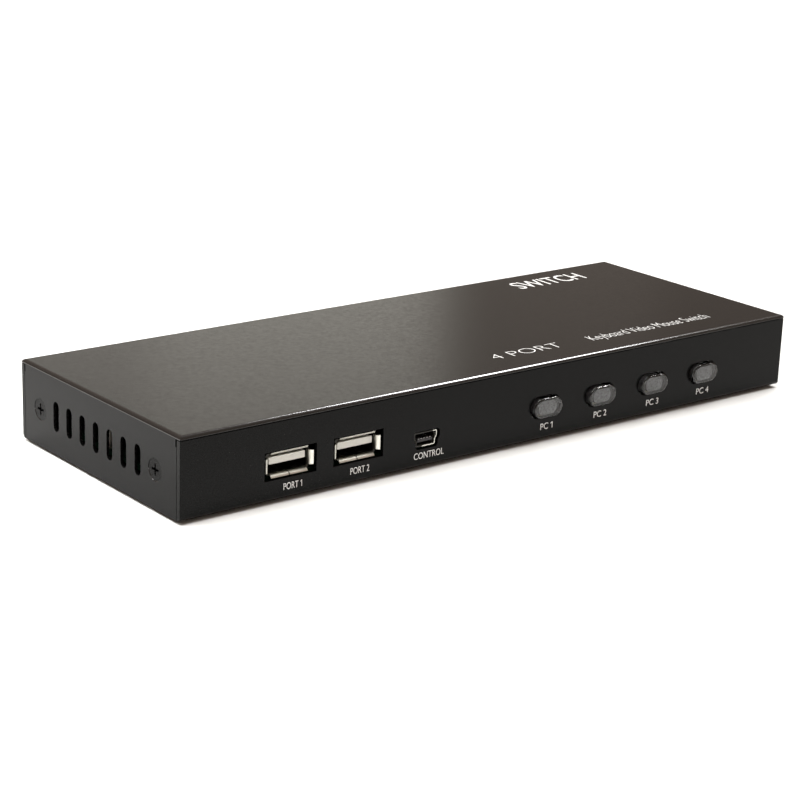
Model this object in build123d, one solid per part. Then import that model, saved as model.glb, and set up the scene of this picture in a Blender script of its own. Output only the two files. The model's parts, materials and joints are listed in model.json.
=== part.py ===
from build123d import *
import os

os.makedirs("parts", exist_ok=True)

# A four-port desktop switch box that shares one keyboard, mouse and display.
# Millimetres. +X runs along the front from left to right, +Y from front to back, +Z up.
# The origin is on the table, under the middle of the whole object.

# ---------------------------------------------------------------- case
CASE_W = 214.0
CASE_D = 78.0
CASE_H = 22.0
FOOT_H = 0.8
SHEET = 0.8
TRAY_BEND_R = 1.5
COVER_BEND_R = 1.0
CORNER_R = 0.2
INNER_CORNER_R = 0.2
SEAM = 0.2
COVER_LIP_H = 1.05
BUTTON_PROUD = 1.5
REAR_PROUD = 1.0
REACH = 2.0 * CASE_W

FRONT_Y = BUTTON_PROUD - (BUTTON_PROUD + CASE_D + REAR_PROUD) / 2
BACK_Y = FRONT_Y + CASE_D
MID_Y = (FRONT_Y + BACK_Y) / 2
HALF_W = CASE_W / 2
CASE_BOTTOM = FOOT_H
CASE_TOP = CASE_BOTTOM + CASE_H
FLOOR_TOP = CASE_BOTTOM + SHEET
COVER_LIP_BOTTOM = CASE_TOP - COVER_LIP_H
PANEL_TOP = COVER_LIP_BOTTOM - SEAM
FLANGE_INSET = TRAY_BEND_R + SEAM
TRAY_HALF_W = HALF_W - SHEET - SEAM

# Cover vents and screws
VENT_COUNT = 7
VENT_PITCH = 6.73
VENT_W = 2.8
VENT_H = 8.2
VENT_Y = MID_Y + 0.6
VENT_Z = CASE_BOTTOM + 10.6
RELIEF_W = 0.4
RELIEF_H = 2.0
SCREW_Y = MID_Y + 0.8
SCREW_PITCH = 56.8
SCREW_Z = CASE_BOTTOM + 10.4
SCREW_R = 1.5
SCREW_LEN = 6.0
SCREW_HEAD_R = 2.9
SCREW_SUNK = 0.12
SINK_CLEAR = 0.15
TAB_W = 10.0
TAB_TOP = CASE_BOTTOM + 15.0
TAB_HOLE_R = 1.55
TAB_SINK = 0.6
CROSS_LEN = 3.2
CROSS_W = 0.62
CROSS_DEPTH = 1.1
CROSS_WELL = 1.3

# Feet
FOOT_R = 4.5
FOOT_EDGE = 0.6
FOOT_X = HALF_W - 14.0
FOOT_Y = CASE_D / 2 - 13.0

# ---------------------------------------------------------------- board
BOARD_T = 1.6
STANDOFF_H = 3.2
BOARD_BOTTOM = FLOOR_TOP + STANDOFF_H
BOARD_TOP = BOARD_BOTTOM + BOARD_T
BOARD_HALF_W = 101.0
BOARD_FRONT = FRONT_Y + 3.2
BOARD_BACK = BACK_Y - 2.0
BOARD_CORNER_R = 1.5
STANDOFF_R = 2.75
BOARD_SCREW_R = 1.4
BOARD_SCREW_HOLE_R = 1.5
BOARD_SCREW_LEN = 4.0
PAN_HEAD_R = 2.7
PAN_HEAD_H = 1.7
PAN_HEAD_EDGE = 0.85
BOARD_HOLES = [(x, y) for x in (-95.0, -12.0, 95.0) for y in (-29.0, 14.0)]

# ---------------------------------------------------------------- front ports
PORT_AXIS_Z = CASE_BOTTOM + 9.4
PORT_X = [-74.2, -52.9]
PORT_W = 13.1
PORT_H = 5.72
PORT_WALL = 0.3
PORT_CORNER_R = 0.8
PORT_ROOT = 1.6
PORT_BACK = 14.4
PORT_CUT_W = 16.0
PORT_CUT_H = 7.6
LIP_R = 0.9
LIP_SWEEP = 70.0
LIP_TOP_W = 11.2
LIP_SIDE_H = 3.8
LIP_SIDE_TAIL = 0.28
SHELL_SLIT = 0.3
FINGER_X = 3.0
FINGER_W = 1.5
FINGER_FRONT = 3.2
FINGER_BACK = 7.6
FINGER_RISE = 0.75
FINGER_T = 0.3
TONGUE_W = 11.1
TONGUE_T = 1.84
TONGUE_LOW = -0.1
TONGUE_FRONT = 1.8
TONGUE_BACK = 9.5
TONGUE_CORNER_R = 0.25
FIT = 0.05
CONTACT_T = 0.2
CONTACT_W = 1.0
CONTACT_X = [-3.5, -1.0, 1.0, 3.5]
CONTACT_FRONT = 2.8
LEG_FRONT = 9.6
LEG_W = 1.2
LEG_T = 0.3

CONTROL_X = -30.3
CONTROL_Z = CASE_BOTTOM + 7.55
CONTROL_TOP_W = 7.6
CONTROL_LOW_W = 6.4
CONTROL_H = 3.9
CONTROL_STEP_HIGH = 0.45
CONTROL_STEP_LOW = -0.55
CONTROL_RECESS = 0.6
CONTROL_BACK = 9.2
CONTROL_WALL = 0.25
CONTROL_CORNER_R = 0.4
CONTROL_CLEAR = 0.55
CONTROL_TONGUE_W = 5.0
CONTROL_TONGUE_T = 0.7
CONTROL_TONGUE_LOW = -0.75
CONTROL_TONGUE_FRONT = 0.9
CONTROL_TONGUE_BACK = 6.0
CONTROL_CONTACT_COUNT = 5
CONTROL_CONTACT_PITCH = 0.95
CONTROL_CONTACT_W = 0.45
CONTROL_CONTACT_FRONT = 1.1

# ---------------------------------------------------------------- buttons
BUTTON_X = [11.6, 32.1, 52.6, 73.1]
BUTTON_HOLE_W = 11.2
BUTTON_HOLE_H = 6.5
CAP_W = 10.4
CAP_H = 5.7
CAP_BACK = 3.2
CAP_EDGE = 0.6
CAP_FLANGE_W = 12.4
CAP_FLANGE_H = 7.5
CAP_FLANGE_FRONT = 1.25
CAP_FLANGE_T = 0.8
CORE_W = 6.4
CORE_H = 3.9
CORE_CORNER_R = 1.6
CORE_SETBACK = 1.0
CORE_BACK = 4.2
PLUNGER_R = 1.7
PLUNGER_BACK = 7.2
SWITCH_FRONT = 5.4
SWITCH_BACK = 8.9
SWITCH_W = 6.2
SWITCH_TOP = PORT_AXIS_Z + 3.0
SWITCH_BORE_R = 1.77
SWITCH_BORE_END = 8.1
FRAME_T = 0.3
FRAME_HOLE_R = 2.1
FRAME_WING_BACK = 7.6
LED_W = 1.6
LED_D = 0.9
LED_H = 0.8
LED_Y = 4.6

# ---------------------------------------------------------------- rear ports
JACK_X = -92.0
JACK_W = 9.0
JACK_H = 11.0
JACK_AXIS_Z = BOARD_TOP + 6.0
JACK_BACK = 14.0
JACK_NOSE_R = 3.9
JACK_BORE_R = 3.2
JACK_BORE_END = 9.6
JACK_PIN_R = 1.05
JACK_PIN_EDGE = 0.5
JACK_PIN_FRONT = 0.8
JACK_HOLE_R = 4.2

VIDEO_W = 15.0
VIDEO_H = 5.6
VIDEO_LOW_W = 11.8
VIDEO_STEP_HIGH = -0.6
VIDEO_STEP_LOW = -1.8
VIDEO_CORNER_R = 0.3
VIDEO_Z = BOARD_TOP + VIDEO_H / 2
VIDEO_PROUD = 0.5
VIDEO_DEPTH = 11.2
VIDEO_TONGUE_W = 11.0
VIDEO_TONGUE_T = 1.2
VIDEO_TONGUE_LOW = 0.1
VIDEO_TONGUE_FRONT = 0.8
VIDEO_BLOCK_FRONT = 8.0
VIDEO_CONTACT_COUNT = 9
VIDEO_CONTACT_PITCH = 1.1
VIDEO_CONTACT_W = 0.5
VIDEO_CONTACT_FRONT = 1.6
VIDEO_OUT_X = -68.0

HOST_W = 12.0
HOST_H = 10.9
HOST_CHAMFER = 2.3
HOST_Z = BOARD_TOP + HOST_H / 2
HOST_DEPTH = 16.0
HOST_OPEN_W = 8.5
HOST_OPEN_H = 7.8
HOST_OPEN_CHAMFER = 1.8
HOST_FACE = 0.6
HOST_OPEN_END = 10.5
HOST_TONGUE_W = 5.6
HOST_TONGUE_H = 3.2
HOST_TONGUE_FRONT = 0.6
HOST_CONTACT_PITCH = 2.5
HOST_CONTACT_W = 0.9
HOST_CONTACT_FRONT = 1.2

PAIR_FIRST_X = -33.0
PAIR_PITCH = 38.0
PAIR_VIDEO_DX = -9.0
PAIR_HOST_DX = 10.0
PAIR_COUNT = 4
PAIR_X = [PAIR_FIRST_X + PAIR_PITCH * i for i in range(PAIR_COUNT)]
VIDEO_IN_X = [x + PAIR_VIDEO_DX for x in PAIR_X]
HOST_X = [x + PAIR_HOST_DX for x in PAIR_X]
PORT_HOLE_CLEAR = 0.3

# ---------------------------------------------------------------- parts on the board
MAIN_CHIP = (20.0, -2.0, 18.0, 18.0, 1.6)
SINK_SIZE = 20.0
SINK_BASE = 2.0
SINK_FIN_H = 3.0
SINK_FIN_T = 1.0
SINK_FIN_COUNT = 7
VIDEO_CHIP_SIZE = 7.0
VIDEO_CHIP_H = 0.9
VIDEO_CHIP_Y = 17.0
CONTROL_CHIP = (-40.0, -6.0, 12.0, 12.0, 1.4)
CRYSTAL = (-26.0, -6.0, 11.0, 4.6, 3.4)
CAPACITOR_R = 3.15
CAPACITOR_H = 7.0
CAPACITOR_EDGE = 0.4
CAPACITOR_XY = [(-84.0, 6.0), (-75.0, 6.0), (-84.0, -6.0)]
INDUCTOR_SIZE = 7.0
INDUCTOR_H = 4.0
INDUCTOR_CORNER_R = 1.4
INDUCTOR_XY = [(-66.0, 8.0), (-66.0, -4.0)]
HEADER = (-99.0, 6.7, 3.4, 4.6, 4.6)
HEADER_WALL = 0.7
HEADER_DEPTH = 3.2
HEADER_PIN = 0.5
HEADER_PIN_PITCH = 1.5
CHIP_PART = (1.6, 0.8, 0.55)
CHIP_ROWS = 3
CHIP_ROW_PITCH = 9.0
CHIP_COLUMNS = 12
CHIP_COLUMN_PITCH = 4.4
CHIP_FIRST_X = 40.0
CHIP_FIRST_Y = -14.0


# ---------------------------------------------------------------- helpers
STANDING = (Align.CENTER, Align.CENTER, Align.MIN)
HANGING = (Align.CENTER, Align.CENTER, Align.MAX)


def along_x(sketch, x_from, x_to):
    """Extrude a sketch drawn in (y, z) from x_from to x_to."""
    return extrude(Plane.YZ.offset(x_from) * sketch, x_to - x_from)


def along_y(sketch, y_from, y_to):
    """Extrude a sketch drawn in (x, z) from y_from to y_to."""
    return extrude(Plane.XZ.offset(-y_to) * sketch, y_to - y_from)


def along_z(sketch, z_from, z_to):
    """Extrude a sketch drawn in (x, y) from z_from to z_to."""
    return extrude(Plane.XY.offset(z_from) * sketch, z_to - z_from)


def inward(sketch, depth_from, depth_to):
    """Extrude an (x, z) sketch by depths measured behind the front panel's face."""
    return along_y(sketch, FRONT_Y + depth_from, FRONT_Y + depth_to)


def rear_inward(sketch, depth_from, depth_to):
    """Extrude an (x, z) sketch by depths measured in front of the rear panel's face."""
    return along_y(sketch, BACK_Y - depth_to, BACK_Y - depth_from)


def span(x_from, x_to, y_from, y_to, z_from, z_to):
    """A block given by its two corners."""
    size = (x_to - x_from, y_to - y_from, z_to - z_from)
    middle = ((x_from + x_to) / 2, (y_from + y_to) / 2, (z_from + z_to) / 2)
    return Pos(*middle) * Box(*size)


def on_board(x, y, width, depth, height):
    """A block standing on the board's top face."""
    return Pos(x, y, BOARD_TOP + height / 2) * Box(width, depth, height)


def save(name, shape):
    """Write one named sub-part."""
    shape.label = name
    export_step(shape, f"parts/{name}.step")


def row(count, pitch):
    """Evenly spaced positions, centred on zero."""
    return [(i - (count - 1) / 2) * pitch for i in range(count)]


def group(solids):
    """Separate solids that share one node."""
    return Compound(children=list(solids))


# ---------------------------------------------------------------- case
def case_block(inset, bottom, top, corner_r):
    """A block the size of the case less inset, with its upright edges rounded."""
    half_w = HALF_W - inset
    block = span(-half_w, half_w, FRONT_Y + inset, BACK_Y - inset, bottom, top)
    return fillet(block.edges().filter_by(Axis.Z), corner_r)


def tray_block(inset, bottom, top, bend_r, corner_r):
    """The tray's outside or inside: low front and rear edges rounded by its bends."""
    half_w = HALF_W - inset
    block = span(-half_w, half_w, FRONT_Y + inset, BACK_Y - inset, bottom, top)
    bends = block.edges().filter_by(Axis.X).group_by(Axis.Z)[0]
    return fillet(bends, bend_r) & case_block(inset, bottom, top, corner_r)


def cover_block(inset, bottom, top, bend_r, corner_r):
    """The cover's outside or inside: all four top edges rounded by its bends."""
    half_w = HALF_W - inset
    block = span(-half_w, half_w, FRONT_Y + inset, BACK_Y - inset, bottom, top)
    bends = block.faces().sort_by(Axis.Z)[-1].edges()
    return fillet(bends, bend_r) & case_block(inset, bottom, top, corner_r)


def stepped_outline(width, height, low_width, step_high, step_low, corner_r, grow):
    """A receptacle outline, wide above and narrower below, moved outward by grow on every side."""
    drop = step_high - step_low
    taper = (width - low_width) / 2
    shift = grow * ((taper**2 + drop**2) ** 0.5 - drop) / taper
    half, low, half_h = width / 2 + grow, low_width / 2 + grow, height / 2 + grow
    right = [(half, half_h), (half, step_high - shift), (low, step_low - shift), (low, -half_h)]
    left = [(-x, z) for x, z in reversed(right)]
    outline = make_face(Polyline(*right, *left, close=True))
    return fillet(outline.vertices(), max(corner_r + grow, corner_r / 3))


def control_outline(grow=0.0):
    """Outside of the control receptacle's shell."""
    steps = (CONTROL_STEP_HIGH, CONTROL_STEP_LOW)
    return stepped_outline(CONTROL_TOP_W, CONTROL_H, CONTROL_LOW_W, *steps, CONTROL_CORNER_R, grow)


def video_outline(grow=0.0):
    """Outside of a video receptacle's shell."""
    steps = (VIDEO_STEP_HIGH, VIDEO_STEP_LOW)
    return stepped_outline(VIDEO_W, VIDEO_H, VIDEO_LOW_W, *steps, VIDEO_CORNER_R, grow)


def host_outline(width, height, cut, grow=0.0):
    """Outline of a host receptacle: a rectangle with its two top corners cut off."""
    half_w, half_h = width / 2 + grow, height / 2 + grow
    cut += grow * (2 - 2**0.5)
    right = [(half_w, -half_h), (half_w, half_h - cut), (half_w - cut, half_h)]
    left = [(-x, z) for x, z in reversed(right)]
    return make_face(Polyline(*right, *left, close=True))


def front_openings():
    """Everything cut out of the front panel."""
    cuts = [Pos(x, PORT_AXIS_Z) * Rectangle(PORT_CUT_W, PORT_CUT_H) for x in PORT_X]
    cuts.append(Pos(CONTROL_X, CONTROL_Z) * control_outline(CONTROL_CLEAR))
    cuts += [Pos(x, PORT_AXIS_Z) * SlotOverall(BUTTON_HOLE_W, BUTTON_HOLE_H) for x in BUTTON_X]
    return [inward(cut, -SHEET, 2 * SHEET) for cut in cuts]


def rear_openings():
    """Everything cut out of the rear panel."""
    cuts = [Pos(JACK_X, JACK_AXIS_Z) * Circle(JACK_HOLE_R)]
    for x in [VIDEO_OUT_X] + VIDEO_IN_X:
        cuts.append(Pos(x, VIDEO_Z) * video_outline(PORT_HOLE_CLEAR))
    for x in HOST_X:
        cuts.append(Pos(x, HOST_Z) * host_outline(HOST_W, HOST_H, HOST_CHAMFER, PORT_HOLE_CLEAR))
    return [rear_inward(cut, -SHEET, 2 * SHEET) for cut in cuts]


def side_plane(side, y, x):
    """A plane across the case side, with its normal pointing out of the case."""
    return Plane(origin=(side * x, y, SCREW_Z), x_dir=(0, 1, 0), z_dir=(side, 0, 0))


def screw_places():
    """Side and Y of the four cover screws."""
    return [(side, SCREW_Y + dy) for side in (-1, 1) for dy in row(2, SCREW_PITCH)]


def make_base_tray():
    """Floor, front panel and rear panel folded from one sheet, with four screw tabs."""
    tray = tray_block(0, CASE_BOTTOM, PANEL_TOP, TRAY_BEND_R, CORNER_R)
    tray -= tray_block(SHEET, FLOOR_TOP, PANEL_TOP + CASE_H, TRAY_BEND_R - SHEET, INNER_CORNER_R)
    for side in (-1, 1):
        edge, outside = sorted((side * TRAY_HALF_W, side * REACH))
        tray -= span(edge, outside, FRONT_Y + TRAY_BEND_R, BACK_Y - TRAY_BEND_R, 0, REACH)
    for side, y in screw_places():
        inner, outer = sorted((side * (TRAY_HALF_W - SHEET), side * TRAY_HALF_W))
        tray += span(inner, outer, y - TAB_W / 2, y + TAB_W / 2, CASE_BOTTOM, TAB_TOP)
    sink = Cone(TAB_HOLE_R, TAB_HOLE_R + TAB_SINK, TAB_SINK, align=HANGING)
    for side, y in screw_places():
        tray -= side_plane(side, y, TRAY_HALF_W) * Cylinder(TAB_HOLE_R, 4 * SHEET)
        tray -= side_plane(side, y, TRAY_HALF_W) * sink
    for opening in front_openings() + rear_openings():
        tray -= opening
    return tray


def make_top_cover():
    """Top, two side flanges and short front and rear lips folded from one sheet."""
    cover = cover_block(0, CASE_BOTTOM, CASE_TOP, COVER_BEND_R, CORNER_R)
    cover -= cover_block(SHEET, -CASE_H, CASE_TOP - SHEET, COVER_BEND_R - SHEET, INNER_CORNER_R)
    cover -= span(-REACH, REACH, -REACH, FRONT_Y + FLANGE_INSET, -CASE_H, COVER_LIP_BOTTOM)
    cover -= span(-REACH, REACH, BACK_Y - FLANGE_INSET, REACH, -CASE_H, COVER_LIP_BOTTOM)
    for edge, step in ((FRONT_Y + FLANGE_INSET, 1), (BACK_Y - FLANGE_INSET, -1)):
        low, high = sorted((edge, edge + step * RELIEF_W))
        cover -= span(-REACH, REACH, low, high, COVER_LIP_BOTTOM - RELIEF_H, COVER_LIP_BOTTOM)
    for dy in row(VENT_COUNT, VENT_PITCH):
        vent = Pos(VENT_Y + dy, VENT_Z) * Rot(0, 0, 90) * SlotOverall(VENT_H, VENT_W)
        cover -= along_x(vent, -REACH, REACH)
    top_r = SCREW_HEAD_R + SINK_CLEAR
    sink = Cone(top_r - SHEET, top_r, SHEET, align=HANGING)
    for side, y in screw_places():
        cover -= side_plane(side, y, HALF_W) * sink
    return cover


def cross_recess():
    """The cross-shaped driver recess, cut down from z = 0."""
    bar = Box(CROSS_LEN, CROSS_W, CROSS_DEPTH, align=HANGING)
    well = Cone(CROSS_W / 2, CROSS_W, CROSS_WELL, align=HANGING)
    return bar + Rot(0, 0, 90) * bar + well


def make_cover_screw():
    """Countersunk screw standing along Z with the top of its head at z = 0."""
    taper = SCREW_HEAD_R - SCREW_R
    head = Cone(SCREW_R, SCREW_HEAD_R, taper, align=HANGING)
    shank = Pos(0, 0, -taper) * Cylinder(SCREW_R, SCREW_LEN - taper, align=HANGING)
    return head + shank - cross_recess()


def make_cover_screws():
    """Four countersunk screws, two in each side."""
    screw = make_cover_screw()
    return group(side_plane(side, y, HALF_W - SCREW_SUNK) * screw for side, y in screw_places())


def make_rubber_feet():
    """Four round feet under the tray."""
    foot = Cylinder(FOOT_R, FOOT_H, align=STANDING)
    foot = fillet(foot.edges().group_by(Axis.Z)[0], FOOT_EDGE)
    return group(Pos(x, MID_Y + y) * foot for x in (-FOOT_X, FOOT_X) for y in (-FOOT_Y, FOOT_Y))


# ---------------------------------------------------------------- board
def make_main_board():
    """The circuit board with its screw holes."""
    middle_y = (BOARD_FRONT + BOARD_BACK) / 2
    outline = RectangleRounded(2 * BOARD_HALF_W, BOARD_BACK - BOARD_FRONT, BOARD_CORNER_R)
    board = along_z(Pos(0, middle_y) * outline, BOARD_BOTTOM, BOARD_TOP)
    for x, y in BOARD_HOLES:
        board -= along_z(Pos(x, y) * Circle(BOARD_SCREW_HOLE_R), CASE_BOTTOM, CASE_TOP)
    return board


def make_board_standoffs():
    """Tapped pillars between the floor and the board."""
    outline = Circle(STANDOFF_R) - Circle(BOARD_SCREW_HOLE_R)
    return group(along_z(Pos(x, y) * outline, FLOOR_TOP, BOARD_BOTTOM) for x, y in BOARD_HOLES)


def make_board_screws():
    """Pan-head screws that hold the board to the standoffs."""
    head = Cylinder(PAN_HEAD_R, PAN_HEAD_H, align=STANDING)
    head = fillet(head.edges().group_by(Axis.Z)[-1], PAN_HEAD_EDGE)
    shank = Cylinder(BOARD_SCREW_R, BOARD_SCREW_LEN, align=HANGING)
    screw = head + shank - Pos(0, 0, PAN_HEAD_H) * cross_recess()
    return group(Pos(x, y, BOARD_TOP) * screw for x, y in BOARD_HOLES)


# ---------------------------------------------------------------- front ports
def lip_profile(tail):
    """Section of a flared lip, curling forward (-x) and outward (+y) from a shell wall below y = 0."""
    centre = (0, LIP_R)
    end = 270 - LIP_SWEEP
    near = CenterArc(centre, LIP_R, 270, -LIP_SWEEP)
    far = CenterArc(centre, LIP_R + PORT_WALL, end, LIP_SWEEP)
    profile = make_face([near, Line(near @ 1, far @ 0), far, Line(far @ 1, near @ 0)])
    if tail:
        run = (near % 1) * tail
        profile += make_face(Polyline(near @ 1, far @ 0, (far @ 0) + run, (near @ 1) + run, close=True))
    return profile


def port_lip(half, length, tail, turn):
    """One flared lip of a front port, rooted half from the port's axis and turned about that axis."""
    profile = Pos(FRONT_Y + PORT_ROOT, half) * lip_profile(tail)
    return Rot(0, turn, 0) * along_x(profile, -length / 2, length / 2)


def make_front_port_shell(x):
    """Drawn steel shell of a front port with four flared lips, spring fingers and legs."""
    outer = RectangleRounded(PORT_W, PORT_H, PORT_CORNER_R)
    inner = RectangleRounded(PORT_W - 2 * PORT_WALL, PORT_H - 2 * PORT_WALL, PORT_CORNER_R - PORT_WALL)
    shell = inward(outer - inner, PORT_ROOT, PORT_BACK)
    for turn in (0, 180):
        shell += port_lip(PORT_H / 2, LIP_TOP_W, 0, turn)
        shell += port_lip(PORT_W / 2, LIP_SIDE_H, LIP_SIDE_TAIL, turn + 90)
    floor = PORT_WALL - PORT_H / 2
    ramp = [
        (FRONT_Y + FINGER_FRONT, floor - PORT_WALL / 2),
        (FRONT_Y + FINGER_BACK, floor + FINGER_RISE),
        (FRONT_Y + FINGER_BACK, floor + FINGER_RISE + FINGER_T),
        (FRONT_Y + FINGER_FRONT, floor + PORT_WALL / 2),
    ]
    for side in (-1, 1):
        middle = side * FINGER_X
        finger = make_face(Polyline(*ramp, close=True))
        shell += along_x(finger, middle - FINGER_W / 2, middle + FINGER_W / 2)
        leg = Rectangle(LEG_T, PORT_AXIS_Z - BOARD_TOP, align=(Align.CENTER, Align.MAX))
        leg_x = side * (PORT_W - PORT_WALL) / 2
        shell += inward(Pos(leg_x, 0) * leg, LEG_FRONT, LEG_FRONT + LEG_W)
    seam = Pos(0, floor) * Rectangle(SHELL_SLIT, PORT_H, align=(Align.CENTER, Align.MAX))
    shell -= inward(seam, -SHEET, PORT_BACK + SHEET)
    return Pos(x, 0, PORT_AXIS_Z) * shell


def make_front_port_insulator(x):
    """Moulded back block and tongue of a front port."""
    shrink = 2 * (PORT_WALL + FIT)
    inner = RectangleRounded(PORT_W - shrink, PORT_H - shrink, PORT_CORNER_R - PORT_WALL)
    block = inward(inner, TONGUE_BACK, PORT_BACK - FIT)
    blade = Pos(0, TONGUE_LOW + TONGUE_T / 2) * RectangleRounded(TONGUE_W, TONGUE_T, TONGUE_CORNER_R)
    return Pos(x, 0, PORT_AXIS_Z) * (block + inward(blade, TONGUE_FRONT, TONGUE_BACK))


def make_front_port_contacts(x):
    """Four spring contacts under the tongue of a front port."""
    strip = Rectangle(CONTACT_W, CONTACT_T, align=(Align.CENTER, Align.MAX))
    places = [Pos(x + dx, PORT_AXIS_Z + TONGUE_LOW) for dx in CONTACT_X]
    return group(inward(place * strip, CONTACT_FRONT, TONGUE_BACK) for place in places)


def make_control_port_shell():
    """Drawn shell of the small control port."""
    ring = control_outline() - control_outline(-CONTROL_WALL)
    return Pos(CONTROL_X, 0, CONTROL_Z) * inward(ring, CONTROL_RECESS, CONTROL_BACK)


def make_control_port_insulator():
    """Back block and thin tongue of the control port."""
    block = inward(control_outline(-CONTROL_WALL - FIT), CONTROL_TONGUE_BACK, CONTROL_BACK - FIT)
    blade = Rectangle(CONTROL_TONGUE_W, CONTROL_TONGUE_T, align=(Align.CENTER, Align.MIN))
    tongue = inward(Pos(0, CONTROL_TONGUE_LOW) * blade, CONTROL_TONGUE_FRONT, CONTROL_TONGUE_BACK)
    return Pos(CONTROL_X, 0, CONTROL_Z) * (block + tongue)


def make_control_port_contacts():
    """Five contacts on the control port's tongue."""
    strip = Rectangle(CONTROL_CONTACT_W, CONTACT_T, align=(Align.CENTER, Align.MIN))
    top = CONTROL_Z + CONTROL_TONGUE_LOW + CONTROL_TONGUE_T
    places = [Pos(CONTROL_X + dx, top) for dx in row(CONTROL_CONTACT_COUNT, CONTROL_CONTACT_PITCH)]
    return group(inward(place * strip, CONTROL_CONTACT_FRONT, CONTROL_TONGUE_BACK) for place in places)


# ---------------------------------------------------------------- buttons
def make_button_cap(x):
    """Smoke-clear cap: round-ended nose, retaining flange, and a pocket for the core."""
    nose = inward(SlotOverall(CAP_W, CAP_H), -BUTTON_PROUD, CAP_BACK)
    nose = fillet(nose.edges().group_by(Axis.Y)[0], CAP_EDGE)
    flange_outline = SlotOverall(CAP_FLANGE_W, CAP_FLANGE_H)
    flange = inward(flange_outline, CAP_FLANGE_FRONT, CAP_FLANGE_FRONT + CAP_FLANGE_T)
    pocket_outline = RectangleRounded(CORE_W + 2 * FIT, CORE_H + 2 * FIT, CORE_CORNER_R)
    pocket = inward(pocket_outline, CORE_SETBACK - BUTTON_PROUD - FIT, CAP_BACK + SHEET)
    return Pos(x, 0, PORT_AXIS_Z) * (nose + flange - pocket)


def make_button_core(x):
    """Light guide inside the cap; its back end presses the switch plunger."""
    outline = RectangleRounded(CORE_W, CORE_H, CORE_CORNER_R)
    core = inward(outline, CORE_SETBACK - BUTTON_PROUD, CORE_BACK)
    return Pos(x, 0, PORT_AXIS_Z) * core


def make_switch_plunger(x):
    """Round plunger of a tactile switch."""
    plunger = inward(Circle(PLUNGER_R), CORE_BACK, PLUNGER_BACK)
    return Pos(x, 0, PORT_AXIS_Z) * plunger


def make_switch_body(x):
    """Moulded body of a tactile switch, standing on the board, bored for its plunger."""
    outline = Rectangle(SWITCH_W, SWITCH_TOP - BOARD_TOP, align=(Align.CENTER, Align.MIN))
    body = inward(Pos(x, BOARD_TOP) * outline, SWITCH_FRONT, SWITCH_BACK)
    bore = inward(Pos(x, PORT_AXIS_Z) * Circle(SWITCH_BORE_R), SWITCH_FRONT - SHEET, SWITCH_BORE_END)
    return body - bore


def make_switch_frames():
    """Folded metal frames over the four switch bodies."""
    frames = []
    for x in BUTTON_X:
        face = Rectangle(SWITCH_W + 2 * FRAME_T, SWITCH_TOP - BOARD_TOP, align=(Align.CENTER, Align.MIN))
        plate = inward(Pos(x, BOARD_TOP) * face, SWITCH_FRONT - FRAME_T, SWITCH_FRONT)
        for side in (-1, 1):
            wing = Rectangle(FRAME_T, SWITCH_TOP - BOARD_TOP, align=(Align.CENTER, Align.MIN))
            wing_x = x + side * (SWITCH_W + FRAME_T) / 2
            plate += inward(Pos(wing_x, BOARD_TOP) * wing, SWITCH_FRONT - FRAME_T, FRAME_WING_BACK)
        hole = Pos(x, PORT_AXIS_Z) * Circle(FRAME_HOLE_R)
        frames.append(plate - inward(hole, SWITCH_FRONT - SHEET, SWITCH_FRONT + FRAME_T))
    return group(frames)


def make_indicator_leds():
    """One small LED on the board under the back of each button core."""
    return group(on_board(x, FRONT_Y + LED_Y, LED_W, LED_D, LED_H) for x in BUTTON_X)


# ---------------------------------------------------------------- rear ports
def make_power_jack():
    """Moulded power jack with a round nose and a blind bore."""
    bottom = BOARD_TOP - JACK_AXIS_Z
    block = rear_inward(Pos(0, bottom + JACK_H / 2) * Rectangle(JACK_W, JACK_H), SHEET + SEAM, JACK_BACK)
    nose = rear_inward(Circle(JACK_NOSE_R), -REAR_PROUD, SHEET + SEAM)
    bore = rear_inward(Circle(JACK_BORE_R), -2 * REAR_PROUD, JACK_BORE_END)
    return Pos(JACK_X, 0, JACK_AXIS_Z) * (block + nose - bore)


def make_power_jack_pin():
    """Centre pin of the power jack, fixed in the bottom of its bore."""
    pin = rear_inward(Circle(JACK_PIN_R), JACK_PIN_FRONT, JACK_BORE_END)
    pin = fillet(pin.edges().group_by(Axis.Y)[-1], JACK_PIN_EDGE)
    return Pos(JACK_X, 0, JACK_AXIS_Z) * pin


def make_video_shell(x):
    """Drawn shell of one video receptacle."""
    ring = video_outline() - video_outline(-PORT_WALL)
    return Pos(x, 0, VIDEO_Z) * rear_inward(ring, -VIDEO_PROUD, VIDEO_DEPTH)


def make_video_insulators():
    """Back block and tongue of each of the five video receptacles."""
    block = rear_inward(video_outline(-PORT_WALL - FIT), VIDEO_BLOCK_FRONT, VIDEO_DEPTH - FIT)
    blade = Rectangle(VIDEO_TONGUE_W, VIDEO_TONGUE_T, align=(Align.CENTER, Align.MIN))
    tongue = rear_inward(Pos(0, VIDEO_TONGUE_LOW) * blade, VIDEO_TONGUE_FRONT, VIDEO_BLOCK_FRONT)
    insulator = block + tongue
    return group(Pos(x, 0, VIDEO_Z) * insulator for x in [VIDEO_OUT_X] + VIDEO_IN_X)


def make_video_contacts():
    """Contact strips on the upper face of each video tongue."""
    strip = Rectangle(VIDEO_CONTACT_W, CONTACT_T, align=(Align.CENTER, Align.MIN))
    top = VIDEO_Z + VIDEO_TONGUE_LOW + VIDEO_TONGUE_T
    offsets = row(VIDEO_CONTACT_COUNT, VIDEO_CONTACT_PITCH)
    places = [Pos(x + dx, top) for x in [VIDEO_OUT_X] + VIDEO_IN_X for dx in offsets]
    return group(rear_inward(place * strip, VIDEO_CONTACT_FRONT, VIDEO_BLOCK_FRONT) for place in places)


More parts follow.
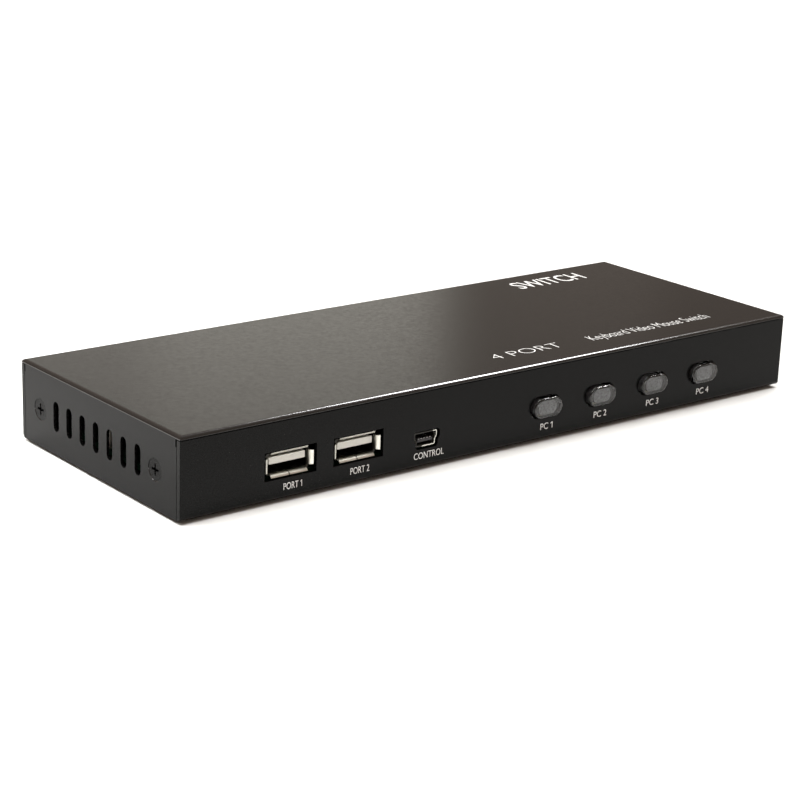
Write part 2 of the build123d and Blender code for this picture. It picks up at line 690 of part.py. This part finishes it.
def make_host_shell(x):
    """Folded shell of one host data receptacle."""
    size = (HOST_W, HOST_H, HOST_CHAMFER)
    ring = host_outline(*size) - host_outline(*size, -PORT_WALL)
    return Pos(x, 0, HOST_Z) * rear_inward(ring, -REAR_PROUD, HOST_DEPTH)


def make_host_insulators():
    """Moulded lining and centre tongue of each host receptacle."""
    lining = host_outline(HOST_W, HOST_H, HOST_CHAMFER, -PORT_WALL - FIT)
    body = rear_inward(lining, -REAR_PROUD + HOST_FACE, HOST_DEPTH - FIT)
    mouth = host_outline(HOST_OPEN_W, HOST_OPEN_H, HOST_OPEN_CHAMFER)
    body -= rear_inward(mouth, -2 * REAR_PROUD, HOST_OPEN_END)
    body += rear_inward(Rectangle(HOST_TONGUE_W, HOST_TONGUE_H), HOST_TONGUE_FRONT, HOST_OPEN_END)
    return group(Pos(x, 0, HOST_Z) * body for x in HOST_X)


def make_host_contacts():
    """Two contacts above and two below the centre tongue of each host receptacle."""
    strip = Rectangle(HOST_CONTACT_W, CONTACT_T)
    columns = row(2, HOST_CONTACT_PITCH)
    levels = row(2, HOST_TONGUE_H + CONTACT_T)
    places = [Pos(x + dx, HOST_Z + dz) for x in HOST_X for dx in columns for dz in levels]
    return group(rear_inward(place * strip, HOST_CONTACT_FRONT, HOST_OPEN_END) for place in places)


# ---------------------------------------------------------------- parts on the board
def make_heat_sink():
    """Finned aluminium heat sink on the main chip."""
    x, y, _, _, chip_h = MAIN_CHIP
    sink = Box(SINK_SIZE, SINK_SIZE, SINK_BASE, align=STANDING)
    for dx in row(SINK_FIN_COUNT, (SINK_SIZE - SINK_FIN_T) / (SINK_FIN_COUNT - 1)):
        sink += Pos(dx, 0) * Box(SINK_FIN_T, SINK_SIZE, SINK_BASE + SINK_FIN_H, align=STANDING)
    return Pos(x, y, BOARD_TOP + chip_h) * sink


def make_video_chips():
    """One signal chip in front of each video input."""
    size = VIDEO_CHIP_SIZE
    return group(on_board(x, VIDEO_CHIP_Y, size, size, VIDEO_CHIP_H) for x in VIDEO_IN_X)


def make_capacitors():
    """Upright electrolytic capacitors beside the power jack."""
    can = Cylinder(CAPACITOR_R, CAPACITOR_H, align=STANDING)
    can = fillet(can.edges().group_by(Axis.Z)[-1], CAPACITOR_EDGE)
    return group(Pos(x, y, BOARD_TOP) * can for x, y in CAPACITOR_XY)


def make_inductors():
    """Square power inductors with rounded corners."""
    outline = RectangleRounded(INDUCTOR_SIZE, INDUCTOR_SIZE, INDUCTOR_CORNER_R)
    return group(along_z(Pos(x, y) * outline, BOARD_TOP, BOARD_TOP + INDUCTOR_H) for x, y in INDUCTOR_XY)


def make_board_header():
    """White cable header near the board's left end: an open box with two pins."""
    x, y, width, depth, height = HEADER
    box = on_board(x, y, width, depth, height)
    pit = Box(width - 2 * HEADER_WALL, depth - 2 * HEADER_WALL, HEADER_DEPTH, align=HANGING)
    return box - Pos(x, y, BOARD_TOP + height) * pit


def make_header_pins():
    """Two square pins standing in the cable header."""
    x, y, _, _, height = HEADER
    foot = BOARD_TOP + height - HEADER_DEPTH
    pin = Box(HEADER_PIN, HEADER_PIN, HEADER_DEPTH - HEADER_PIN, align=STANDING)
    return group(Pos(x, y + dy, foot) * pin for dy in row(2, HEADER_PIN_PITCH))


def make_small_parts():
    """Rows of chip resistors and capacitors."""
    columns = [CHIP_FIRST_X + i * CHIP_COLUMN_PITCH for i in range(CHIP_COLUMNS)]
    rows = [CHIP_FIRST_Y + i * CHIP_ROW_PITCH for i in range(CHIP_ROWS)]
    return group(on_board(x, y, *CHIP_PART) for x in columns for y in rows)


def main():
    save("base_tray", make_base_tray())
    save("top_cover", make_top_cover())
    save("cover_screws", make_cover_screws())
    save("rubber_feet", make_rubber_feet())
    save("main_board", make_main_board())
    save("board_standoffs", make_board_standoffs())
    save("board_screws", make_board_screws())
    for i, x in enumerate(PORT_X, 1):
        save(f"front_port_shell_{i}", make_front_port_shell(x))
        save(f"front_port_insulator_{i}", make_front_port_insulator(x))
        save(f"front_port_contacts_{i}", make_front_port_contacts(x))
    save("control_port_shell", make_control_port_shell())
    save("control_port_insulator", make_control_port_insulator())
    save("control_port_contacts", make_control_port_contacts())
    for i, x in enumerate(BUTTON_X, 1):
        save(f"button_cap_{i}", make_button_cap(x))
        save(f"button_core_{i}", make_button_core(x))
        save(f"switch_plunger_{i}", make_switch_plunger(x))
        save(f"switch_body_{i}", make_switch_body(x))
    save("switch_frames", make_switch_frames())
    save("indicator_leds", make_indicator_leds())
    save("power_jack_body", make_power_jack())
    save("power_jack_pin", make_power_jack_pin())
    save("video_out_shell", make_video_shell(VIDEO_OUT_X))
    for i, x in enumerate(VIDEO_IN_X, 1):
        save(f"video_in_shell_{i}", make_video_shell(x))
    save("video_insulators", make_video_insulators())
    save("video_contacts", make_video_contacts())
    for i, x in enumerate(HOST_X, 1):
        save(f"host_port_shell_{i}", make_host_shell(x))
    save("host_port_insulators", make_host_insulators())
    save("host_port_contacts", make_host_contacts())
    save("main_chip", on_board(*MAIN_CHIP))
    save("heat_sink", make_heat_sink())
    save("video_chips", make_video_chips())
    save("control_chip", on_board(*CONTROL_CHIP))
    save("crystal", on_board(*CRYSTAL))
    save("capacitors", make_capacitors())
    save("inductors", make_inductors())
    save("board_header", make_board_header())
    save("header_pins", make_header_pins())
    save("small_parts", make_small_parts())


main()
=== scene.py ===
import json
import math

import bmesh
import bpy
from mathutils import Matrix, Vector


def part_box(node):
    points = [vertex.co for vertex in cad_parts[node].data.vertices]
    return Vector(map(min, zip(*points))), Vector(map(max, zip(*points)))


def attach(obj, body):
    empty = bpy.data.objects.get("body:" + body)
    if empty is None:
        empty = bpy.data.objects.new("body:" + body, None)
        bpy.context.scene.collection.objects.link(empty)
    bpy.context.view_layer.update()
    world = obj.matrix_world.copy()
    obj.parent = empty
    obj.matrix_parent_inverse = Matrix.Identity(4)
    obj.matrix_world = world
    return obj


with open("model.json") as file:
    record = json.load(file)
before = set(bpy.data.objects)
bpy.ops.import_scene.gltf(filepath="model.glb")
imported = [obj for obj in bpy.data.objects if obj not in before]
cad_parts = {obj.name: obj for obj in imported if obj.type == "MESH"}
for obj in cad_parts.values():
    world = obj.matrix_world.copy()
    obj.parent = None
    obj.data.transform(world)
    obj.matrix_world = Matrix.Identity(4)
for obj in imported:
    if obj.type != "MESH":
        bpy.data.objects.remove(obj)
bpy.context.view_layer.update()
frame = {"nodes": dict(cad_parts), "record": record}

# Finishes, lettering, camera, lights and floor for a four-port desktop switch box.
# Metres. +X runs along the front from left to right, +Y from front to back, +Z up.
MM = 0.001

# ---------------------------------------------------------------- where things are
tray_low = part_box("base_tray")[0]
cover_low, cover_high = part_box("top_cover")
FRONT_Y = tray_low.y
CASE_BOTTOM = tray_low.z
TOP_Z = cover_high.z
LEFT_X = cover_low.x

# Lettering: how far the ink stands off the paint, and the capitals on the front
INK = 0.015 * MM
LABEL_CAP = 1.8 * MM

# The slanted stroke of a final 1, in shares of the figure's height
FLAG_SEARCH = 0.20
FLAG_RUN = 0.24
FLAG_DROP = 0.17
FLAG_THICK = 0.17

# Noise values that count as the two ends of a drift
NOISE_LOW = 0.3
NOISE_HIGH = 0.7

# Case paint: how strongly it mirrors face on, and its glossier bends, found by their normal's z
PAINT_TINT = (0.90, 0.90, 0.90, 1.0)
BEND_LOW = 0.1
BEND_HIGH = 0.99
BEND_GLOSS = 1.0
BEND_ROUGH = 0.12
BEND_IOR = 1.7

# Metal shells in front: flat rims, found by their normal's y, get painted shade where x - z is below
# RIM_LIT_FROM
RIM_LIT_FROM = -0.0380
RIM_FACING = -0.985
RIM_LEFT = 0.06

# Painted shade inside the front ports, by distance from the case's middle plane: where it is darkest and
# where the painted shade ends, and the share of colour left at the darkest
SHELL_SHADE = (0.0362, 0.0381, 0.05)
TONGUE_SHADE = (0.0310, 0.0345, 0.04)

# ---------------------------------------------------------------- camera
SENSOR = 36.0
LENS = 94.9
NEAREST = 0.01
FARTHEST = 50.0
RIGHT = Vector((0.78412, -0.61968, 0.03403))
UP = Vector((0.16128, 0.25641, 0.95302))
FORWARD = Vector((0.59929, 0.74179, -0.30100))
CAMERA_AT = Vector((-0.36654, -0.44310, CASE_BOTTOM + 0.18406))


def add_camera():
    """Look down on the front left corner."""
    data = bpy.data.cameras.new("camera")
    data.sensor_width = SENSOR
    data.lens = LENS
    data.clip_start = NEAREST
    data.clip_end = FARTHEST
    camera = bpy.data.objects.new("camera", data)
    turn = Matrix((RIGHT, UP, -FORWARD)).transposed().to_4x4()
    camera.matrix_world = Matrix.Translation(CAMERA_AT) @ turn
    bpy.context.scene.collection.objects.link(camera)
    bpy.context.scene.camera = camera


# ---------------------------------------------------------------- lights and floor
ORIGIN = (0.0, 0.0, 0.0)
WHITE = (1.0, 1.0, 1.0)
ROOM = (0.350, 0.285, 0.242, 1.0)
CEILING = (4.6, 4.6, 4.5, 1.0)
CEILING_EDGE = 0.88
CEILING_FULL = 0.97
WALL_ELEVATION = 16.5
WALL_DISTANCE = 2.2
WALL_HEIGHT = 0.52
FLOOR_HALF = 6.0
FLOOR_COLOUR = (0.82, 0.82, 0.81)


def softbox(name, at, aim, width, height, radiance, colour=WHITE):
    """A rectangular light at one point, facing another."""
    data = bpy.data.lights.new(name, "AREA")
    data.shape = "RECTANGLE"
    data.size = width
    data.size_y = height
    data.energy = radiance * math.pi * width * height
    data.color = colour
    light = bpy.data.objects.new(name, data)
    light.location = at
    light.rotation_mode = "QUATERNION"
    light.rotation_quaternion = (Vector(at) - Vector(aim)).to_track_quat("Z", "Y")
    light.visible_camera = False
    bpy.context.scene.collection.objects.link(light)


def heading(azimuth, elevation, distance):
    """A point seen from the origin: azimuth from +Y towards +X and elevation above the floor, in degrees."""
    a, e = math.radians(azimuth), math.radians(elevation)
    return Vector((math.sin(a) * math.cos(e), math.cos(a) * math.cos(e), math.sin(e))) * distance


def wall(name, azimuth, width, radiance, colour):
    """A pale panel standing behind the case, for its top to mirror."""
    at = heading(azimuth, WALL_ELEVATION, WALL_DISTANCE)
    softbox(name, at, ORIGIN, width, WALL_HEIGHT, radiance, colour)


def add_world():
    """A dim warm room with a bright patch of ceiling straight above."""
    world = bpy.data.worlds.new("room")
    world.use_nodes = True
    tree = world.node_tree
    shade = tree.nodes["Background"]
    split = tree.nodes.new("ShaderNodeSeparateXYZ")
    tree.links.new(tree.nodes.new("ShaderNodeTexCoord").outputs["Generated"], split.inputs["Vector"])
    ramp = tree.nodes.new("ShaderNodeMapRange")
    ramp.inputs["From Min"].default_value = CEILING_EDGE
    ramp.inputs["From Max"].default_value = CEILING_FULL
    tree.links.new(split.outputs["Z"], ramp.inputs["Value"])
    mix = tree.nodes.new("ShaderNodeMix")
    mix.data_type = "RGBA"
    mix.inputs["A"].default_value = ROOM
    mix.inputs["B"].default_value = CEILING
    tree.links.new(ramp.outputs["Result"], mix.inputs["Factor"])
    tree.links.new(mix.outputs["Result"], shade.inputs["Color"])
    bpy.context.scene.world = world


def add_lights():
    """Walls for the top to mirror, and lamps for the buttons, the front top edge and the left end."""
    softbox("button_light", heading(-112, 58, 1.3), ORIGIN, width=0.14, height=0.14, radiance=24.0)
    wall("back_wall", 15.8, width=1.9, radiance=0.90, colour=(1.0, 1.0, 0.92))
    wall("back_wall_end", 35.0, width=0.39, radiance=0.45, colour=(1.0, 1.0, 0.88))
    wall("right_wall", 45.0, width=0.21, radiance=0.15, colour=(1.0, 0.93, 0.84))
    softbox("edge_light", heading(81, 50.5, 1.5), ORIGIN, width=0.90, height=0.20, radiance=30.0)
    softbox("left_key", (-0.19, 0.03, 0.20), (-0.16, 0.03, 0.0), width=0.16, height=0.16, radiance=7.5)


def add_floor():
    """A wide sheet of pale paper under the object."""
    mesh = bpy.data.meshes.new("floor")
    corners = [(x * FLOOR_HALF, y * FLOOR_HALF, 0) for x, y in ((-1, -1), (1, -1), (1, 1), (-1, 1))]
    mesh.from_pydata(corners, [], [(0, 1, 2, 3)])
    floor = bpy.data.objects.new("floor", mesh)
    bpy.context.scene.collection.objects.link(floor)
    finish = Finish("floor_paper", FLOOR_COLOUR, rough=0.9)
    finish.mottle(60.0, 0.01)
    floor.data.materials.append(finish.material)


# ---------------------------------------------------------------- materials
class Finish:
    """A surface finish built from nodes: a base colour broken up by noise, with bump and uneven roughness."""

    def __init__(self, name, colour, rough=0.5, metal=0.0, ior=1.5, **sockets):
        self.material = bpy.data.materials.new(name)
        self.material.use_nodes = True
        self.tree = self.material.node_tree
        self.shader = self.tree.nodes["Principled BSDF"]
        self.colour = colour
        self.rough = rough
        self.last_bump = None
        self.set("Base Color", (*colour, 1.0))
        self.set("Roughness", rough)
        self.set("Metallic", metal)
        self.set("IOR", ior)
        for socket, value in sockets.items():
            self.set(socket.replace("_", " "), value)
        self.place = self.tree.nodes.new("ShaderNodeTexCoord").outputs["Object"]

    def set(self, socket, value):
        self.shader.inputs[socket].default_value = value

    def link(self, source, target):
        self.tree.links.new(source, target)

    def stretched(self, stretch):
        """Object coordinates scaled along each axis, for grain with a direction."""
        node = self.tree.nodes.new("ShaderNodeMapping")
        node.inputs["Scale"].default_value = stretch
        self.link(self.place, node.inputs["Vector"])
        return node.outputs["Vector"]

    def noise(self, scale, detail=2.0, stretch=None):
        """Smooth noise over the object."""
        node = self.tree.nodes.new("ShaderNodeTexNoise")
        node.inputs["Scale"].default_value = scale
        node.inputs["Detail"].default_value = detail
        self.link(self.stretched(stretch) if stretch else self.place, node.inputs["Vector"])
        return node.outputs["Fac"]

    def ramp(self, value, from_low, from_high, to_low, to_high):
        """Map a value from one range to another, held at its ends."""
        node = self.tree.nodes.new("ShaderNodeMapRange")
        node.inputs["From Min"].default_value = from_low
        node.inputs["From Max"].default_value = from_high
        node.inputs["To Min"].default_value = to_low
        node.inputs["To Max"].default_value = to_high
        self.link(value, node.inputs["Value"])
        return node.outputs["Result"]

    def math(self, operation, value, other=0.0):
        """One sum on a socket and a second socket or number."""
        node = self.tree.nodes.new("ShaderNodeMath")
        node.operation = operation
        self.link(value, node.inputs[0])
        if isinstance(other, float):
            node.inputs[1].default_value = other
        else:
            self.link(other, node.inputs[1])
        return node.outputs["Value"]

    def parts(self, vector):
        """A vector's X, Y and Z sockets."""
        node = self.tree.nodes.new("ShaderNodeSeparateXYZ")
        self.link(vector, node.inputs["Vector"])
        return node.outputs

    def facing(self):
        """The X, Y and Z sockets of the face's own normal."""
        return self.parts(self.tree.nodes.new("ShaderNodeNewGeometry").outputs["True Normal"])

    def tint(self, share):
        """The base colour times a share."""
        return tuple(c * share for c in self.colour)

    def blend(self, factor, first, second):
        """Make the base colour run from first to second, each a socket or a colour."""
        mix = self.tree.nodes.new("ShaderNodeMix")
        mix.data_type = "RGBA"
        self.link(factor, mix.inputs["Factor"])
        for name, colour in (("A", first), ("B", second)):
            if isinstance(colour, tuple):
                mix.inputs[name].default_value = (*colour, 1.0)
            else:
                self.link(colour, mix.inputs[name])
        self.link(mix.outputs["Result"], self.shader.inputs["Base Color"])
        return self

    def so_far(self):
        """The socket that the base colour comes from now."""
        return self.shader.inputs["Base Color"].links[0].from_socket

    def mottle(self, scale, amount, stretch=None):
        """Colour that drifts lighter and darker by amount."""
        drift = self.ramp(self.noise(scale, 3.0, stretch), NOISE_LOW, NOISE_HIGH, 0.0, 1.0)
        return self.blend(drift, self.tint(1 - amount), self.tint(1 + amount))

    def uneven(self, scale, spread, stretch=None):
        """Roughness that varies by spread."""
        low, high = self.rough - spread, self.rough + spread
        value = self.ramp(self.noise(scale, 3.0, stretch), NOISE_LOW, NOISE_HIGH, low, high)
        self.link(value, self.shader.inputs["Roughness"])
        return self

    def painted_shade_inside(self, deep, mouth, left):
        """Painted shade: colour that falls to a share of itself inside a socket, by distance from the middle
        plane.
        """
        depth = self.math("ABSOLUTE", self.parts(self.place)["Y"])
        return self.blend(self.ramp(depth, deep, mouth, left, 1.0), self.tint(0), self.so_far())

    def glossy_bends(self, weight):
        """A clear coat on bends that turn upward, where the paint pulls thin and smooth."""
        upward = self.facing()["Z"]
        steep = self.math("GREATER_THAN", upward, BEND_LOW)
        shallow = self.math("LESS_THAN", upward, BEND_HIGH)
        bend = self.math("MULTIPLY", steep, shallow)
        self.link(self.math("MULTIPLY", bend, weight), self.shader.inputs["Coat Weight"])
        self.set("Coat Roughness", BEND_ROUGH)
        self.set("Coat IOR", BEND_IOR)
        return self

    def painted_shade_rim(self, lit_from, left):
        """Painted shade: colour that falls to a share of itself on flat front rims, except where x - z passes
        lit_from.
        """
        rim = self.math("LESS_THAN", self.facing()["Y"], RIM_FACING)
        place = self.parts(self.place)
        across = self.math("SUBTRACT", place["X"], place["Z"])
        unlit = self.math("MULTIPLY", rim, self.math("LESS_THAN", across, lit_from))
        return self.blend(unlit, self.so_far(), self.tint(left))

    def bump(self, scale, depth, detail=2.0, stretch=None):
        """Relief of the given depth in metres."""
        node = self.tree.nodes.new("ShaderNodeBump")
        node.inputs["Distance"].default_value = depth
        self.link(self.noise(scale, detail, stretch), node.inputs["Height"])
        if self.last_bump:
            self.link(self.last_bump, node.inputs["Normal"])
        self.last_bump = node.outputs["Normal"]
        self.link(self.last_bump, self.shader.inputs["Normal"])
        return self


def make_finishes():
    """One finish for each of the record's material slots."""
    made = {}

    def add(slot, finish):
        made[slot] = finish.material

    paint = Finish("case_paint", (0.0030, 0.0030, 0.0029), rough=0.22, ior=1.20, Specular_Tint=PAINT_TINT)
    paint.mottle(2600.0, 0.25).uneven(900.0, 0.03).bump(3000.0, 0.000002).bump(420.0, 0.000004)
    add("case_paint", paint.glossy_bends(BEND_GLOSS))
    add("cover_screw", Finish("cover_screw", (0.003, 0.003, 0.003), rough=0.30, ior=1.16)
        .mottle(1800.0, 0.2).uneven(1500.0, 0.06).bump(4000.0, 0.000004))
    add("foot_rubber", Finish("foot_rubber", (0.018, 0.018, 0.018), rough=0.8)
        .mottle(900.0, 0.2).bump(1500.0, 0.00003))
    add("board_green", Finish("board_green", (0.006, 0.034, 0.017), rough=0.4, Coat_Weight=0.3)
        .mottle(220.0, 0.25, (1.0, 6.0, 1.0)).bump(900.0, 0.00002, 1.0, (1.0, 8.0, 1.0)))
    add("standoff_brass", Finish("standoff_brass", (0.60, 0.42, 0.18), rough=0.32, metal=1.0)
        .mottle(900.0, 0.12).uneven(1200.0, 0.08, (1.0, 1.0, 8.0)))
    add("screw_steel", Finish("screw_steel", (0.55, 0.55, 0.56), rough=0.3, metal=1.0)
        .mottle(900.0, 0.1).uneven(1400.0, 0.08))
    # port shells: painted shade inside the ports, and on front rims where x - z is below RIM_LIT_FROM
    add("port_shell", Finish("port_shell", (0.74, 0.73, 0.66), rough=0.40, metal=1.0)
        .mottle(700.0, 0.05).uneven(500.0, 0.05, (1.0, 0.15, 1.0))
        .bump(1600.0, 0.000003, 2.0, (1.0, 0.1, 1.0))
        .painted_shade_inside(*SHELL_SHADE).painted_shade_rim(RIM_LIT_FROM, RIM_LEFT))
    # port tongues: painted shade inside the ports
    add("port_tongue", Finish("port_tongue", (0.64, 0.63, 0.58), rough=0.40)
        .mottle(1200.0, 0.03).uneven(900.0, 0.06).bump(3500.0, 0.000008).painted_shade_inside(*TONGUE_SHADE))
    add("dark_insulator", Finish("dark_insulator", (0.012, 0.012, 0.013), rough=0.45)
        .mottle(1500.0, 0.2).bump(3500.0, 0.00001))
    add("contact_gold", Finish("contact_gold", (0.78, 0.56, 0.24), rough=0.25, metal=1.0)
        .mottle(1500.0, 0.1).uneven(1500.0, 0.08))
    add("smoke_clear", Finish("smoke_clear", (0.46, 0.465, 0.47), rough=0.06, ior=1.49,
        Transmission_Weight=1.0)
        .mottle(300.0, 0.04).uneven(1200.0, 0.03).bump(900.0, 0.00001))
    add("light_guide", Finish("light_guide", (0.46, 0.46, 0.465), rough=0.38, Transmission_Weight=0.15)
        .mottle(1500.0, 0.50).uneven(1500.0, 0.1).bump(1500.0, 0.00016, 4.0))
    add("plunger_plastic", Finish("plunger_plastic", (0.06, 0.06, 0.062), rough=0.5)
        .mottle(1200.0, 0.2).bump(3000.0, 0.00001))
    add("switch_plastic", Finish("switch_plastic", (0.015, 0.015, 0.015), rough=0.5)
        .mottle(1200.0, 0.2).bump(3000.0, 0.00001))
    add("nylon_white", Finish("nylon_white", (0.70, 0.69, 0.64), rough=0.45)
        .mottle(1200.0, 0.05).bump(3000.0, 0.00001))
    add("contact_tin", Finish("contact_tin", (0.60, 0.59, 0.57), rough=0.3, metal=1.0)
        .mottle(1500.0, 0.08).uneven(1500.0, 0.08))
    add("led_lens", Finish("led_lens", (0.75, 0.70, 0.50), rough=0.2, Transmission_Weight=0.3)
        .mottle(1200.0, 0.08))
    add("jack_plastic", Finish("jack_plastic", (0.012, 0.012, 0.012), rough=0.3)
        .mottle(1200.0, 0.2).bump(2500.0, 0.00001))
    add("jack_pin", Finish("jack_pin", (0.66, 0.65, 0.62), rough=0.18, metal=1.0)
        .mottle(900.0, 0.06).uneven(1200.0, 0.06))
    add("host_insulator", Finish("host_insulator", (0.020, 0.020, 0.022), rough=0.5)
        .mottle(1200.0, 0.2).bump(3000.0, 0.00001))
    add("chip_epoxy", Finish("chip_epoxy", (0.014, 0.014, 0.014), rough=0.6)
        .mottle(2500.0, 0.3).bump(4000.0, 0.00001))
    add("sink_aluminium", Finish("sink_aluminium", (0.60, 0.60, 0.61), rough=0.35, metal=1.0)
        .mottle(600.0, 0.08, (6.0, 0.4, 1.0)).uneven(900.0, 0.1, (6.0, 0.3, 1.0)))
    add("crystal_can", Finish("crystal_can", (0.62, 0.62, 0.62), rough=0.28, metal=1.0)
        .mottle(700.0, 0.08).uneven(900.0, 0.06))
    add("capacitor_can", Finish("capacitor_can", (0.50, 0.50, 0.52), rough=0.3, metal=1.0)
        .mottle(700.0, 0.08).uneven(900.0, 0.06))
    add("ferrite", Finish("ferrite", (0.055, 0.055, 0.057), rough=0.6)
        .mottle(2500.0, 0.3).bump(3000.0, 0.00002))
    add("ceramic", Finish("ceramic", (0.33, 0.25, 0.17), rough=0.5)
        .mottle(1500.0, 0.2).bump(3000.0, 0.00001))
    add("print_white", Finish("print_white", (0.74, 0.74, 0.73), rough=0.55)
        .mottle(2200.0, 0.08).bump(4000.0, 0.000006))
    return made


def dress_nodes(finishes):
    """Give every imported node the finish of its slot."""
    slot_of = {part["node"]: part["material_slot"] for part in frame["record"]["subparts"]}
    for name, node in frame["nodes"].items():
        node.data.materials.clear()
        node.data.materials.append(finishes[slot_of[name]])


# ---------------------------------------------------------------- lettering
def ink_mesh(name, text, cap_height, width, weight):
    """Flat lettering in the XY plane, centred on its width, with its baseline on y = 0."""
    curve = bpy.data.curves.new(name, "FONT")
    curve.body = text
    curve.fill_mode = "FRONT"
    curve.offset = weight
    letters = bpy.data.objects.new(name, curve)
    bpy.context.scene.collection.objects.link(letters)
    bpy.context.view_layer.update()
    mesh = bpy.data.meshes.new_from_object(letters.evaluated_get(bpy.context.evaluated_depsgraph_get()))
    bpy.data.objects.remove(letters)
    xs = [v.co.x for v in mesh.vertices]
    tall = max(v.co.y for v in mesh.vertices)
    middle = (min(xs) + max(xs)) / 2
    across = width / (max(xs) - min(xs))
    if text.endswith("1"):
        add_flag(mesh, max(xs), tall)
    for v in mesh.vertices:
        v.co.x = (v.co.x - middle) * across
        v.co.y = v.co.y * cap_height / tall
        v.co.z = 0.0
    mesh.name = name
    return mesh


def add_flag(mesh, right_edge, tall):
    """Give the built-in font's plain bar of a 1 its short slanted stroke."""
    bar_left = min(v.co.x for v in mesh.vertices if v.co.x > right_edge - FLAG_SEARCH * tall)
    work = bmesh.new()
    work.from_mesh(mesh)
    low = 1.0 - FLAG_THICK
    corners = [(0.0, 1.0), (-FLAG_RUN, 1.0 - FLAG_DROP), (-FLAG_RUN, low - FLAG_DROP), (0.0, low)]
    work.faces.new([work.verts.new((bar_left + x * tall, y * tall, 0.0)) for x, y in corners])
    work.to_mesh(mesh)
    work.free()


def print_text(name, text, at, right, up, cap_height, width, finishes, weight=0.0):
    """White ink lettering on a face: at is the middle of the baseline."""
    mesh = ink_mesh(name, text, cap_height, width, weight)
    right, up = Vector(right), Vector(up)
    out = right.cross(up)
    turn = Matrix((right, up, out)).transposed().to_4x4()
    mesh.transform(Matrix.Translation(Vector(at) + out * INK) @ turn)
    mesh.materials.clear()
    mesh.materials.append(finishes["print_white"])
    piece = bpy.data.objects.new(name, mesh)
    bpy.context.scene.collection.objects.link(piece)
    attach(piece, "case")


def print_front(finishes):
    """Labels under the ports and buttons: the baseline's middle from the case's lower left, and the width."""
    labels = [
        ("port_1", "PORT 1", 33.5, 2.45, 5.7),
        ("port_2", "PORT 2", 54.7, 2.45, 6.1),
        ("control", "CONTROL", 77.55, 2.45, 10.1),
        ("pc_1", "PC 1", 119.3, 2.85, 4.5),
        ("pc_2", "PC 2", 139.6, 2.85, 4.9),
        ("pc_3", "PC 3", 160.2, 2.85, 4.9),
        ("pc_4", "PC 4", 180.8, 2.85, 5.1),
    ]
    for name, text, x, z, width in labels:
        at = (LEFT_X + x * MM, FRONT_Y, CASE_BOTTOM + z * MM)
        print_text("label_" + name, text, at, (1, 0, 0), (0, 0, 1), LABEL_CAP, width * MM, finishes)


def print_top(finishes):
    """Three marks on the top: place from its front left, width, capitals, and how much bolder."""
    labels = [
        ("mark", "SWITCH", 179.6, 64.2, 27.5, 7.0, 0.004),
        ("count", "4 PORT", 121.0, 9.6, 25.0, 4.3, -0.022),
        ("line", "Keyboard Video Mouse Switch", 168.6, 9.6, 47.5, 4.2, -0.012),
    ]
    for name, text, x, y, width, tall, weight in labels:
        at = (LEFT_X + x * MM, FRONT_Y + y * MM, TOP_Z)
        print_text("print_" + name, text, at, (1, 0, 0), (0, 1, 0), tall * MM, width * MM, finishes, weight)


def main():
    finishes = make_finishes()
    add_camera()
    add_world()
    add_lights()
    add_floor()
    dress_nodes(finishes)
    print_front(finishes)
    print_top(finishes)
    bpy.context.scene.view_settings.view_transform = "Standard"


main()
